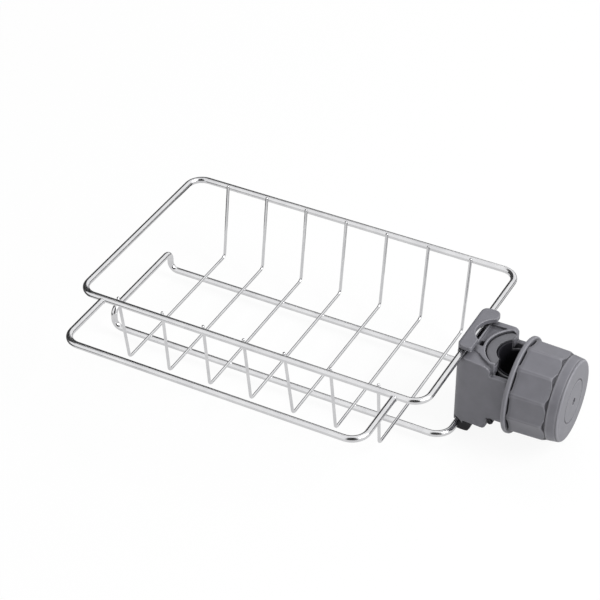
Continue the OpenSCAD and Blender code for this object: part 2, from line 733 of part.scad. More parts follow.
// Radius of the collar where the cap sits on it
function cap_base_r() = collar_r + (collar_end_r - collar_r) * (cap_x - grip_end) / (knob_end - grip_end);

// Cap over the swivel screw: a disc with a ring groove and a dimple, on a short plug
module knob_cap() {
    plug_r = cap_plug_r - plug_fit;
    plug_x = cap_x - cap_plug;
    color("gray") difference() {
        union() {
            along_x(cap_x) rotate_extrude() difference() {
                polygon([[0, 0], [cap_base_r(), 0], [collar_end_r, cap_wall], [0, cap_wall]]);
                translate([collar_end_r, cap_wall]) rotate(180) corner_waste(cap_edge_r);
            }
            along_x(plug_x) cylinder(r = plug_r, h = cap_plug);
        }
        along_x(plug_x - overrun) cylinder(r = plug_r - cap_plug_wall, h = cap_plug + overrun);
        along_x(knob_end) rotate_extrude() translate([cap_groove_r, 0]) circle(r = cap_groove);
        along_x(knob_end - cap_dimple) cylinder(r = cap_dimple_r, h = cap_dimple + overrun);
    }
}

top_rim();
bottom_frame();
towel_bar();
for (i = [1:cross_wire_count]) cross_wire(i);
clamp_body();
seat_liner();
seat_pad();
lower_clip();
clip_screws();
liner_screws();
jaw_block();
jaw_pad();
swivel_screw();
thrust_washer();
knob_shell();
knob_cap();
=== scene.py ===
# Sponge holder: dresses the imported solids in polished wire, moulded plastic and rubber.
# Sizes in the dictionaries are in millimetres and in the part's own frame, unless a note says otherwise.
import math

import bmesh
import bpy
from mathutils import Matrix, Vector


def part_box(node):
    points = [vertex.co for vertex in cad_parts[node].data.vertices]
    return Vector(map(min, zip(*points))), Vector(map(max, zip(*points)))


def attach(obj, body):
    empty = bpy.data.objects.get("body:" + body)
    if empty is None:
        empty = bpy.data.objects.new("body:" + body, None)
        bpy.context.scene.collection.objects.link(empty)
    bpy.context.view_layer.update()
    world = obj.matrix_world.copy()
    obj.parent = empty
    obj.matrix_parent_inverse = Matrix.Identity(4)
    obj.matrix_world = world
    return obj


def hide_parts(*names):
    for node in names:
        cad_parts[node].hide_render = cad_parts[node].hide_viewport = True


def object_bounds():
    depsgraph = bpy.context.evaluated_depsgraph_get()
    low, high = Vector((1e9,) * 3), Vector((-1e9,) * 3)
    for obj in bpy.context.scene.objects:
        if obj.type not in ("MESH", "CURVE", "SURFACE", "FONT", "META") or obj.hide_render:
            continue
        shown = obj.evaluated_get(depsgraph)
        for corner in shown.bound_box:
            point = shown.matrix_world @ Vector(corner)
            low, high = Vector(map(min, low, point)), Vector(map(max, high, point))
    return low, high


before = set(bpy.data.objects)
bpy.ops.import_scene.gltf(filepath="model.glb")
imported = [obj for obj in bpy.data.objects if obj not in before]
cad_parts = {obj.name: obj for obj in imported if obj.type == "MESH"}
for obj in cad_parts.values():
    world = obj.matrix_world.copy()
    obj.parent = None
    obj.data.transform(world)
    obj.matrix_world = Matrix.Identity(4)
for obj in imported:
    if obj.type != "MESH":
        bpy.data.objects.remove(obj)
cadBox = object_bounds()
mm = 0.001
print("frame loaded:", len(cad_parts), "solids")


def linkNew(name, data):
    obj = bpy.data.objects.new(name, data)
    bpy.context.scene.collection.objects.link(obj)
    return obj


def clamped(value):
    return min(1, max(0, value))


def spread(first, last, steps):
    return [first + (last - first) * i / steps for i in range(steps + 1)]


# Camera at the photograph's place: it looks down from the front right
camera = {
    "eye": (209.116, -593.312, 525.838),
    "azimuth": 0.4888374,    # angles in radians
    "elevation": 0.6570268,
    "roll": -0.0042885,
    "focalPixels": 1875.554,
    "imageWidth": 600,
    "sensor": 36,
    "clip": (0.05, 20),      # in metres
}


def makeCamera(c):
    sa, ca = math.sin(c["azimuth"]), math.cos(c["azimuth"])
    se, ce = math.sin(c["elevation"]), math.cos(c["elevation"])
    back = Vector((sa * ce, -ca * ce, se))
    level = Vector((ca, sa, 0))
    above = back.cross(level)
    right = level * math.cos(c["roll"]) + above * math.sin(c["roll"])
    up = above * math.cos(c["roll"]) - level * math.sin(c["roll"])
    data = bpy.data.cameras.new("camera")
    data.sensor_width = c["sensor"]
    data.lens = c["sensor"] * c["focalPixels"] / c["imageWidth"]
    data.clip_start, data.clip_end = c["clip"]
    obj = linkNew("camera", data)
    turn = Matrix((right, up, back)).transposed().to_4x4()
    obj.matrix_world = Matrix.Translation(Vector(c["eye"]) * mm) @ turn
    bpy.context.scene.camera = obj


makeCamera(camera)
bpy.context.scene.view_settings.view_transform = "Standard"


# Node helpers

def feed(tree, socket, source):
    # source is a socket to link or a plain value
    if isinstance(source, bpy.types.NodeSocket):
        tree.links.new(source, socket)
    else:
        socket.default_value = source


def addNode(tree, kind, place, inputs=(), **settings):
    # the settings come first, because they decide which sockets the node has
    node = tree.nodes.new(kind)
    node.location = place
    for name, value in settings.items():
        setattr(node, name, value)
    for label, source in dict(inputs).items():
        feed(tree, node.inputs[label], source)
    return node


def newTree(name, kind, inputs, outputs):
    # inputs and outputs give the kind of each named socket
    tree = bpy.data.node_groups.new(name, kind)
    for direction, sockets in [("INPUT", inputs), ("OUTPUT", outputs)]:
        for label, socket in sockets.items():
            tree.interface.new_socket(label, in_out=direction, socket_type="NodeSocket" + socket)
    given = addNode(tree, "NodeGroupInput", (-900, 0)).outputs
    return tree, given, addNode(tree, "NodeGroupOutput", (900, 0))


def calculated(tree, operation, place, *terms, clamp=False):
    node = addNode(tree, "ShaderNodeMath", place, enumerate(terms), operation=operation, use_clamp=clamp)
    return node.outputs[0]


def ranged(tree, source, low, high, place, fromLow=0.3, fromHigh=0.7):
    node = addNode(tree, "ShaderNodeMapRange", place, {
        "Value": source, "From Min": fromLow, "From Max": fromHigh, "To Min": low, "To Max": high})
    return node.outputs["Result"]


def mixed(tree, factor, one, other, place):
    # sockets 6 and 7 take the colours
    values = {"Factor": factor, 6: one, 7: other}
    return addNode(tree, "ShaderNodeMix", place, values, data_type="RGBA").outputs[2]


# Shader groups that several finishes share

patterns = {
    "grainDetail": 4,
    "cloudDetail": 2,
    "grainRoughness": 0.6,
    "lineScale": 9,
    "lineDetail": 3,
    "markDetail": 6,
    "markDistortion": 1.5,
    "markLevel": 0.8,        # noise over this level, less the marks' share, is a mark
    "markContrast": 6,
    "hollowSamples": 6,
}


def makeGrainGroup():
    # a fine noise for the moulded grain and a broad one for cloudy tone and gloss
    tree, given, out = newTree(
        "mouldGrain", "ShaderNodeTree",
        {"Coordinates": "Vector", "Grain Size": "Float", "Cloud Size": "Float"},
        {"Height": "Float", "Cloud": "Float"})
    for output, label, detail, y in [("Height", "Grain Size", patterns["grainDetail"], 200),
                                     ("Cloud", "Cloud Size", patterns["cloudDetail"], -200)]:
        noise = addNode(tree, "ShaderNodeTexNoise", (-100, y), {
            "Vector": given["Coordinates"], "Scale": calculated(tree, "DIVIDE", (-400, y), 1, given[label]),
            "Detail": detail, "Roughness": patterns["grainRoughness"]})
        feed(tree, out.inputs[output], noise.outputs["Fac"])
    return tree


def makeStreakGroup():
    # fine lines left along a drawn wire, from the coordinates that run along and around it
    tree, given, out = newTree(
        "drawnStreaks", "ShaderNodeTree",
        {"Along": "Float", "Around": "Float", "Line Length": "Float"}, {"Height": "Float"})
    turn = calculated(tree, "MULTIPLY", (-700, 200), given["Around"], 2 * math.pi)
    place = addNode(tree, "ShaderNodeCombineXYZ", (-300, 0), {
        "X": calculated(tree, "COSINE", (-500, 200), turn),
        "Y": calculated(tree, "SINE", (-500, 0), turn),
        "Z": calculated(tree, "DIVIDE", (-500, -200), given["Along"], given["Line Length"])})
    noise = addNode(tree, "ShaderNodeTexNoise", (0, 0), {
        "Vector": place.outputs[0], "Scale": patterns["lineScale"], "Detail": patterns["lineDetail"]})
    feed(tree, out.inputs["Height"], noise.outputs["Fac"])
    return tree


def makeMarkGroup():
    # sparse marks from handling
    tree, given, out = newTree(
        "handlingMarks", "ShaderNodeTree",
        {"Coordinates": "Vector", "Spacing": "Float", "Share": "Float"}, {"Mask": "Float"})
    noise = addNode(tree, "ShaderNodeTexNoise", (-300, 0), {
        "Vector": given["Coordinates"], "Scale": calculated(tree, "DIVIDE", (-600, 0), 1, given["Spacing"]),
        "Detail": patterns["markDetail"], "Distortion": patterns["markDistortion"]})
    level = calculated(tree, "SUBTRACT", (-300, -300), patterns["markLevel"], given["Share"])
    over = calculated(tree, "SUBTRACT", (0, 0), noise.outputs["Fac"], level)
    mask = calculated(tree, "MULTIPLY", (300, 0), over, patterns["markContrast"], clamp=True)
    feed(tree, out.inputs["Mask"], mask)
    return tree


def makeHollowShadeGroup():
    # painted shade: darkens a colour where the surface lies in a gap or a hollow, where shade falls
    tree, given, out = newTree(
        "paintedHollowShade", "ShaderNodeTree",
        {"Colour": "Color", "Shade Colour": "Color", "Reach": "Float", "Contrast": "Float"},
        {"Colour": "Color"})
    openness = addNode(tree, "ShaderNodeAmbientOcclusion", (-500, 0), {"Distance": given["Reach"]},
                       samples=patterns["hollowSamples"])
    steep = calculated(tree, "POWER", (-250, 0), openness.outputs["AO"], given["Contrast"])
    feed(tree, out.inputs["Colour"], mixed(tree, steep, given["Shade Colour"], given["Colour"], (200, 0)))
    return tree


groups = {"grain": makeGrainGroup(), "streaks": makeStreakGroup(), "marks": makeMarkGroup(),
          "hollowShade": makeHollowShadeGroup()}


def useGroup(tree, group, place, inputs):
    return addNode(tree, "ShaderNodeGroup", place, inputs, node_tree=groups[group]).outputs


def newMaterial(name):
    material = bpy.data.materials.new(name)
    material.use_nodes = True
    return material, material.node_tree, material.node_tree.nodes["Principled BSDF"]


def objectPlace(tree):
    return addNode(tree, "ShaderNodeTexCoord", (-1400, 0)).outputs["Object"]


def namedMask(tree, label, place):
    return addNode(tree, "ShaderNodeAttribute", place, attribute_name=label).outputs["Fac"]


def addBump(tree, shader, height, depth, strength):
    bump = addNode(tree, "ShaderNodeBump", (-300, -400), {
        "Height": height, "Distance": depth * mm, "Strength": strength})
    feed(tree, shader.inputs["Normal"], bump.outputs["Normal"])


# Moulded plastic and rubber: the colours are linear, smooth and rough are the ends of the gloss
# the lighter colour goes on handling marks and on the painted highlight along edges
plasticFinishes = {
    "greyPlastic": {
        "dark": (0.156, 0.155, 0.174, 1), "light": (0.18, 0.179, 0.2, 1),
        "wornAndHighlit": (0.27, 0.268, 0.292, 1),
        "smooth": 0.4, "rough": 0.52, "shine": 0.45, "marks": 0.12,
        "grain": 0.35, "cloud": 7, "bump": 0.012},
    # the same grey plastic painted darker, as shade, for the pieces set inside the clamp
    "innerShadedPlastic": {
        "dark": (0.118, 0.118, 0.13, 1), "light": (0.145, 0.145, 0.158, 1),
        "wornAndHighlit": (0.18, 0.181, 0.195, 1),
        "smooth": 0.42, "rough": 0.55, "shine": 0.45, "marks": 0.08,
        "grain": 0.35, "cloud": 6, "bump": 0.012},
    # the clip is grey plastic like the body, painted near black as the shade it sits in under the body
    "clipPaintedShade": {
        "dark": (0.014, 0.0135, 0.017, 1), "light": (0.022, 0.0215, 0.026, 1),
        "wornAndHighlit": (0.06, 0.059, 0.066, 1),
        "smooth": 0.42, "rough": 0.55, "shine": 0.25, "marks": 0.08,
        "grain": 0.35, "cloud": 6, "bump": 0.012},
    "blackRubber": {
        "dark": (0.012, 0.0118, 0.016, 1), "light": (0.02, 0.0195, 0.025, 1),
        "wornAndHighlit": (0.035, 0.034, 0.041, 1),
        "smooth": 0.66, "rough": 0.82, "shine": 0.15, "marks": 0.15,
        "grain": 0.22, "cloud": 4, "bump": 0.03},
}
handling = {"spacing": 2.5, "strength": 0.35, "bumpStrength": 0.6}
# painted shade in gaps and hollows: its colour, how far it looks and how steeply it darkens
hollowShade = {"colour": (0.02, 0.0198, 0.024, 1), "reach": 2.2, "contrast": 1.8}

metalFinishes = {
    "polishedWire": {
        "dark": (0.70, 0.70, 0.715, 1), "light": (0.80, 0.80, 0.81, 1), "smooth": 0.15, "rough": 0.19,
        "line": 18, "cloud": 9, "bump": 0.00002},
    "screwSteel": {
        "dark": (0.58, 0.58, 0.6, 1), "light": (0.72, 0.72, 0.73, 1), "smooth": 0.22, "rough": 0.34,
        "line": 4, "cloud": 2, "bump": 0.01},
    "blackedSteel": {
        "dark": (0.035, 0.035, 0.038, 1), "light": (0.07, 0.07, 0.075, 1), "smooth": 0.36, "rough": 0.5,
        "line": 4, "cloud": 1.5, "bump": 0.01},
}
lineBumpStrength = 0.5


def makePlastic(name, f):
    material, tree, shader = newMaterial(name)
    place = objectPlace(tree)
    grain = useGroup(tree, "grain", (-1100, 0), {
        "Coordinates": place, "Grain Size": f["grain"] * mm, "Cloud Size": f["cloud"] * mm})
    marks = useGroup(tree, "marks", (-1100, -300), {
        "Coordinates": place, "Spacing": handling["spacing"] * mm, "Share": f["marks"]})
    cloud = ranged(tree, grain["Cloud"], 0, 1, (-800, 0))
    base = mixed(tree, cloud, f["dark"], f["light"], (-600, 0))
    rubbed = calculated(tree, "MULTIPLY", (-900, -400), marks["Mask"], handling["strength"])
    # the lighter colour marks handling wear and paints a highlight on sharp edges
    wearAndHighlight = calculated(tree, "MAXIMUM", (-700, -500), rubbed, namedMask(tree, "edge", (-1100, -600)))
    # then painted shade darkens the colour in gaps and hollows
    shade = useGroup(tree, "hollowShade", (-150, 100), {
        "Colour": mixed(tree, wearAndHighlight, base, f["wornAndHighlit"], (-300, 100)), "Shade Colour": hollowShade["colour"],
        "Reach": hollowShade["reach"] * mm, "Contrast": hollowShade["contrast"]})
    feed(tree, shader.inputs["Base Color"], shade["Colour"])
    gloss = ranged(tree, grain["Cloud"], f["smooth"], f["rough"], (-600, -300))
    feed(tree, shader.inputs["Roughness"], gloss)
    feed(tree, shader.inputs["Specular IOR Level"], f["shine"])
    addBump(tree, shader, grain["Height"], f["bump"], handling["bumpStrength"])
    return material


def makeMetal(name, f):
    material, tree, shader = newMaterial(name)
    lines = useGroup(tree, "streaks", (-1000, -300), {
        "Along": namedMask(tree, "along", (-1300, -300)),
        "Around": namedMask(tree, "around", (-1300, -500)), "Line Length": f["line"] * mm})
    grain = useGroup(tree, "grain", (-1000, 0), {
        "Coordinates": objectPlace(tree), "Cloud Size": f["cloud"] * mm})
    cloud = ranged(tree, grain["Cloud"], 0, 1, (-700, 0))
    feed(tree, shader.inputs["Base Color"], mixed(tree, cloud, f["dark"], f["light"], (-400, 100)))
    feed(tree, shader.inputs["Metallic"], 1)
    gloss = ranged(tree, lines["Height"], f["smooth"], f["rough"], (-600, -300))
    feed(tree, shader.inputs["Roughness"], gloss)
    addBump(tree, shader, lines["Height"], f["bump"], lineBumpStrength)
    return material


materials = {name: makePlastic(name, f) for name, f in plasticFinishes.items()}
materials.update({name: makeMetal(name, f) for name, f in metalFinishes.items()})
print("materials made:", len(materials))


# Geometry nodes helpers

def plainCopy(obj):
    # the evaluated mesh takes the place of obj, under the same name
    bpy.context.view_layer.update()
    made = bpy.data.meshes.new_from_object(obj.evaluated_get(bpy.context.evaluated_depsgraph_get()))
    name = obj.name
    bpy.data.objects.remove(obj)
    made.name = name
    return linkNew(name, made)


def realised(obj, tree, values):
    # runs the tree on obj and gives back a plain mesh object
    modifier = obj.modifiers.new("shape", "NODES")
    modifier.node_group = tree
    for item in tree.interface.items_tree:
        if item.item_type == "SOCKET" and item.in_out == "INPUT" and item.name in values:
            modifier[item.identifier] = values[item.name]
    return plainCopy(obj)


def namedValue(tree, label, place, kind="FLOAT"):
    node = addNode(tree, "GeometryNodeInputNamedAttribute", place, {"Name": label}, data_type=kind)
    return node.outputs["Attribute"]


def stored(tree, geometry, label, value, place):
    node = addNode(tree, "GeometryNodeStoreNamedAttribute", place, {
        "Geometry": geometry, "Name": label, "Value": value}, data_type="FLOAT", domain="POINT")
    return node.outputs["Geometry"]


def splineValue(tree, label, place):
    return addNode(tree, "GeometryNodeSplineParameter", place).outputs[label]


def closeTree(tree, out, geometry, finish, smooth=True):
    # every tree ends alike: plain geometry with its material
    if smooth:
        geometry = addNode(tree, "GeometryNodeSetShadeSmooth", (200, 0), {"Geometry": geometry}).outputs[0]
    plain = addNode(tree, "GeometryNodeRealizeInstances", (400, 0), {"Geometry": geometry})
    last = addNode(tree, "GeometryNodeSetMaterial", (600, 0), {
        "Geometry": plain.outputs[0], "Material": finish})
    feed(tree, out.inputs[0], last.outputs[0])
    return tree


def makeWireTree():
    tree, given, out = newTree(
        "roundWire", "GeometryNodeTree",
        {"Path": "Geometry", "Radius": "Float", "Sides": "Int", "Bend Steps": "Int", "Finish": "Material"},
        {"Wire": "Geometry"})
    curve = addNode(tree, "GeometryNodeMeshToCurve", (-700, 0), {"Mesh": given["Path"]})
    bent = addNode(tree, "GeometryNodeFilletCurve", (-500, 0), {
        "Curve": curve.outputs["Curve"], "Count": given["Bend Steps"],
        "Radius": namedValue(tree, "bend", (-700, -200))}, mode="POLY")
    profile = addNode(tree, "GeometryNodeCurvePrimitiveCircle", (-500, -500), {
        "Resolution": given["Sides"], "Radius": given["Radius"]}, mode="RADIUS")
    along = stored(tree, bent.outputs["Curve"], "along", splineValue(tree, "Length", (-500, -300)),
                   (-300, 0))
    around = stored(tree, profile.outputs["Curve"], "around", splineValue(tree, "Factor", (-500, -700)),
                    (-300, -500))
    skin = addNode(tree, "GeometryNodeCurveToMesh", (0, 0), {
        "Curve": along, "Profile Curve": around, "Scale": namedValue(tree, "thickness", (-300, -200)),
        "Fill Caps": True})
    return closeTree(tree, out, skin.outputs["Mesh"], given["Finish"])


# Wires

wires = {
    "thick": 1.5,            # radii of the two kinds of wire
    "thin": 0.7,
    "sides": 28,
    "bendSteps": 14,
    "rimBend": 7.5,
    "towelBend": 7.5,
    "frameBends": (4, 4, 4, 8, 8, 4),
    "crossBend": 2.5,
    "crossBottom": 43.8,     # half the length of a cross wire's straight bottom
    "rimContact": 49.2,      # middle of a cross wire at the rim's height
    "leans": (0, 0.08, 0.06, 0.01, -0.05, 0, 0.07),    # of each front end, as shares of the pitch
    "firstX": -171.5,
    "pitch": 21.1333,
    "endRound": ((0, 0.55), (0.12, 0.78), (0.35, 0.94), (0.7, 1)),    # distance from a cut end, thickness
}
wireTree = makeWireTree()


def layWire(name, points, radius, bends, closed=False, sizes=None):
    # the path carries the bend radius and the relative thickness at each point
    mesh = bpy.data.meshes.new(name)
    n = len(points)
    edges = [(i, (i + 1) % n) for i in range(n if closed else n - 1)]
    mesh.from_pydata([Vector(p) * mm for p in points], edges, [])
    for label, values in [("bend", [bend * mm for bend in bends]), ("thickness", sizes or [1] * n)]:
        mesh.attributes.new(label, "FLOAT", "POINT").data.foreach_set("value", values)
    return realised(linkNew(name, mesh), wireTree, {
        "Radius": radius * mm, "Sides": wires["sides"], "Bend Steps": wires["bendSteps"],
        "Finish": materials["polishedWire"]})


def boxOf(node):
    low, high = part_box(node)
    return Vector(low) / mm, Vector(high) / mm


def middleHeight(node):
    low, high = boxOf(node)
    return (low.z + high.z) / 2


def centreBox(node):
    # box round the middle line of a thick wire
    low, high = boxOf(node)
    inset = Vector((1, 1, 1)) * wires["thick"]
    return low + inset, high - inset


def roundedEnds(points):
    # adds the points that round off both cut ends of an open wire
    first, last = Vector(points[0]), Vector(points[-1])
    forward = (Vector(points[1]) - first).normalized()
    backward = (Vector(points[-2]) - last).normalized()
    start = [first + forward * away for away, size in wires["endRound"]]
    end = [last + backward * away for away, size in reversed(wires["endRound"])]
    sizes = [size for away, size in wires["endRound"]]
    middle = [Vector(p) for p in points[1:-1]]
    return start + middle + end, sizes + [1] * len(middle) + sizes[::-1]


def makeThickWires():
    w, made = wires, {}
    low, high = centreBox("top_rim")
    z = middleHeight("top_rim")
    points = [(low.x, low.y, z), (high.x, low.y, z), (high.x, high.y, z), (low.x, high.y, z)]
    made["topRim"] = layWire("topRim", points, w["thick"], [w["rimBend"]] * 4, closed=True), "top_rim"
    low, high = centreBox("bottom_frame")
    points = [(low.x, high.y, high.z), (low.x, -high.y, high.z), (low.x, -high.y, low.z),
              (high.x, -high.y, low.z), (high.x, high.y, low.z), (low.x, high.y, low.z)]
    obj = layWire("bottomFrame", points, w["thick"], w["frameBends"], closed=True)
    made["bottomFrame"] = obj, "bottom_frame"
    low, high = centreBox("towel_bar")
    z, ends = middleHeight("towel_bar"), boxOf("towel_bar")[1].y
    points = [(low.x, ends, z), (low.x, low.y, z), (high.x, low.y, z), (high.x, ends, z)]
    bends = [0, w["towelBend"], w["towelBend"], 0]
    made["towelBar"] = layWire("towelBar", points, w["thick"], bends), "towel_bar"
    return made


def crossWireX(i, front):
    lean = wires["leans"][i] * wires["pitch"] if front else 0
    return wires["firstX"] + wires["pitch"] * i + lean


def makeCrossWires():
    made = {}
    half, thin = wires["crossBottom"], wires["thin"]
    for i in range(len(wires["leans"])):
        name, node = "crossWire%d" % (i + 1), "cross_wire_%d" % (i + 1)
        low, high = boxOf(node)
        bottom = low.z + thin
        slope = (wires["rimContact"] - half) / (middleHeight("top_rim") - bottom)
        top = high.z - slope * thin
        topY = half + slope * (top - bottom)
        front, back = crossWireX(i, True), crossWireX(i, False)
        points, sizes = roundedEnds([(front, -topY, top), (back, -half, bottom), (back, half, bottom),
                                     (back, topY, top)])
        straight = [0] * len(wires["endRound"])
        bends = straight + [wires["crossBend"]] * 2 + straight
        made[name] = layWire(name, points, thin, bends, sizes=sizes), node
    return made


def asPiece(obj, body, slotName, *nodes):
    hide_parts(*nodes)
    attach(obj, body)


wirePieces = makeThickWires()
wirePieces.update(makeCrossWires())
for piece, node in wirePieces.values():
    asPiece(piece, "rack", "stainless", node)
    piece.visible_glossy = False    # their images of one another are finer than a pixel and only sparkle
print("wires laid:", len(wirePieces))


# Weld beads: small fused lumps where wires meet

welds = {
    "rimBead": (0.95, 0.42, 1.05),       # half sizes along X, Y and Z
    "railBead": (0.85, 0.95, 0.34),
    "barBead": (1.85, 0.34, 1.7),
    "barSink": 0.15,
    "subdivisions": 4,
    "spread": 0.16,                      # how much smaller than full size a bead may be
    "seed": 7,
}


def makeBeadTree():
    # a ball at each place, of the place's own size
    tree, given, out = newTree(
        "weldBeads", "GeometryNodeTree",
        {"Places": "Geometry", "Size Spread": "Float", "Seed": "Int", "Finish": "Material"},
        {"Beads": "Geometry"})
    ball = addNode(tree, "GeometryNodeMeshIcoSphere", (-700, -200), {
        "Radius": 1, "Subdivisions": welds["subdivisions"]})
    least = calculated(tree, "SUBTRACT", (-900, -600), 1, given["Size Spread"])
    vary = addNode(tree, "FunctionNodeRandomValue", (-700, -600), {    # sockets 2 and 3 are least and most
        "Seed": given["Seed"], 2: least, 3: 1}, data_type="FLOAT")
    full = namedValue(tree, "size", (-700, -400), "FLOAT_VECTOR")
    scale = addNode(tree, "ShaderNodeVectorMath", (-500, -400), {0: full, "Scale": vary.outputs[1]},
                    operation="SCALE")
    beads = addNode(tree, "GeometryNodeInstanceOnPoints", (-300, 0), {
        "Points": given["Places"], "Instance": ball.outputs["Mesh"], "Scale": scale.outputs[0]})
    return closeTree(tree, out, beads.outputs["Instances"], given["Finish"])


def pointCloud(name, places, label, vectors, unit):
    # points that carry a vector each
    mesh = bpy.data.meshes.new(name)
    mesh.from_pydata([Vector(p) * mm for p in places], [], [])
    layer = mesh.attributes.new(label, "FLOAT_VECTOR", "POINT")
    for i, vector in enumerate(vectors):
        layer.data[i].vector = Vector(vector) * unit
    return linkNew(name, mesh)


def makeWelds():
    w, thick = welds, wires["thick"]
    low, high = boxOf("top_rim")
    rimZ, rimY = middleHeight("top_rim"), high.y - 2 * thick
    frameLow, frameHigh = boxOf("bottom_frame")
    railTop, railY = frameLow.z + 2 * thick, frameHigh.y - thick
    places, sizes = [], []
    for i in range(len(wires["leans"])):
        for side in (-1, 1):
            # a leaning front end has moved a share of its lean at the rim's height
            share = (rimZ - railTop) / (high.z - railTop) if side < 0 else 0
            foot = crossWireX(i, False)
            x = foot + (crossWireX(i, True) - foot) * share
            places += [(x, side * rimY, rimZ), (foot, side * railY, railTop)]
            sizes += [w["rimBead"], w["railBead"]]
    low, high = boxOf("towel_bar")
    for x in (low.x + thick, high.x - thick):
        places.append((x, high.y - w["barSink"], middleHeight("towel_bar")))
        sizes.append(w["barBead"])
    return realised(pointCloud("weldBeads", places, "size", sizes, mm), makeBeadTree(), {
        "Size Spread": w["spread"], "Seed": w["seed"], "Finish": materials["polishedWire"]})


weldBeads = makeWelds()
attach(weldBeads, "rack")
print("weld beads made")


# Moulded pieces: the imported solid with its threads, and all edges a little round

mouldings = {
    "clampBody": {"node": "clamp_body", "body": "rack", "slot": "grey_plastic", "finish": "greyPlastic",
                  "voxel": 0.27, "rounding": 5},
    "lowerClip": {"node": "lower_clip", "body": "rack", "slot": "grey_plastic", "finish": "clipPaintedShade",
                  "voxel": 0.22, "rounding": 4},
    "seatLiner": {"node": "seat_liner", "body": "rack", "slot": "grey_plastic", "finish": "innerShadedPlastic",
                  "voxel": 0.2, "rounding": 4, "shrink": 0.2},
    "seatLining": {"node": "seat_pad", "body": "rack", "slot": "black_rubber", "finish": "blackRubber",
                   "voxel": 0.16, "rounding": 4},
    "jawBlock": {"node": "jaw_block", "body": "jaw", "slot": "grey_plastic", "finish": "innerShadedPlastic",
                 "voxel": 0.25, "rounding": 4},
    "jawPad": {"node": "jaw_pad", "body": "jaw", "slot": "black_rubber", "finish": "blackRubber",
               "voxel": 0.2, "rounding": 4},
}
softening = {"merge": 0.002, "factor": 0.5, "keep": 0.45}    # keep is the share of triangles that is kept
# edges and ridges painted lighter: partly rubbed wear, mostly a painted highlight where they catch the
# light
edgeWearAndHighlight = {"start": 0.035, "full": 0.13, "strength": 0.7}
ridgeWearAndHighlight = {"start": 0.012, "full": 0.06, "strength": 0.6}


def solidCopy(node):
    copy = bmesh.new()
    copy.from_mesh(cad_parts[node].data)
    bmesh.ops.remove_doubles(copy, verts=copy.verts, dist=softening["merge"] * mm)
    return copy


def markEdgeWearAndHighlight(data, wearAndHighlight):
    # writes how sharply each point stands out, for the lighter edges: partly rubbed wear, mostly a painted
    # highlight where edges catch the light
    mesh = bmesh.new()
    mesh.from_mesh(data)
    mesh.normal_update()
    around = [[e.other_vert(v) for e in v.link_edges] for v in mesh.verts]
    raw = [-sum((n.co - v.co).normalized().dot(v.normal) for n in near) / max(1, len(near))
           for v, near in zip(mesh.verts, around)]
    soft = [(raw[i] + sum(raw[n.index] for n in near)) / (1 + len(near)) for i, near in enumerate(around)]
    mesh.free()
    layer = data.attributes.new("edge", "FLOAT", "POINT")
    span = wearAndHighlight["full"] - wearAndHighlight["start"]
    shares = [wearAndHighlight["strength"] * clamped((value - wearAndHighlight["start"]) / span) for value in soft]
    layer.data.foreach_set("value", shares)


def finishMesh(data, finish, wearAndHighlight):
    data.materials.clear()
    data.materials.append(materials[finish])
    data.shade_smooth()
    markEdgeWearAndHighlight(data, wearAndHighlight)


def moulded(name, mesh, m):
    # voxel grid, smoothing and thinning turn the sharp solid into one soft-edged skin
    data = bpy.data.meshes.new(name)
    bmesh.ops.recalc_face_normals(mesh, faces=mesh.faces)
    mesh.to_mesh(data)
    mesh.free()
    obj = linkNew(name, data)
    grid = obj.modifiers.new("grid", "REMESH")
    grid.mode, grid.voxel_size, grid.use_smooth_shade = "VOXEL", m["voxel"] * mm, True
    soft = obj.modifiers.new("soft", "SMOOTH")
    soft.factor, soft.iterations = softening["factor"], m["rounding"]
    if "shrink" in m:
        gap = obj.modifiers.new("gap", "DISPLACE")
        gap.strength, gap.mid_level = -m["shrink"] * mm, 0
    thin = obj.modifiers.new("thin", "DECIMATE")
    thin.ratio = softening["keep"]
    made = plainCopy(obj)
    finishMesh(made.data, m["finish"], edgeWearAndHighlight)
    return made


def addSweep(mesh, rings):
    # skin over rings of points, closed round each ring and capped at both ends
    rows = [[mesh.verts.new(Vector(p) * mm) for p in ring] for ring in rings]
    n = len(rows[0])
    for a, b in zip(rows, rows[1:]):
        for k in range(n):
            mesh.faces.new((a[k], a[(k + 1) % n], b[(k + 1) % n], b[k]))
    mesh.faces.new(rows[0][::-1])
    mesh.faces.new(rows[-1])


thread = {
    "pitch": 4,
    "armRadius": 17.2,
    "armCrest": 17.85,
    "armStart": 3.2,
    "armEnd": 16.2,
    "rootHalf": 0.95,        # half widths of a ridge at its root and crest
    "crestHalf": 0.5,
    "from": 26,              # degrees from the arm's middle
    "to": 41,
    "steps": 8,
    "armFlat": 14.98,        # limits that keep a ridge within the arm's flat faces
    "armTop": 11.56,
    "sink": 0.6,             # how deep a ridge's root lies in the arm
    "boreCrest": 17.3,       # of the thread in the knob's bore
}


def ridgeRing(t, side, angle, turn):
    # a ridge's four corners at one angle, kept within the arm's flat faces
    around = side + angle
    x = t["armStart"] + t["pitch"] * (turn + around / 360)
    x -= t["pitch"] if x > t["armEnd"] else 0
    root = t["armRadius"] - t["sink"]
    ring = []
    for dx, r in [(-t["rootHalf"], root), (-t["crestHalf"], t["armCrest"]),
                  (t["crestHalf"], t["armCrest"]), (t["rootHalf"], root)]:
        y, z = r * math.cos(math.radians(around)), r * math.sin(math.radians(around))
        y = math.copysign(min(abs(y), t["armFlat"]), y)
        z = math.copysign(min(abs(z), t["armTop"]), z)
        ring.append((x + dx, y, z))
    return ring


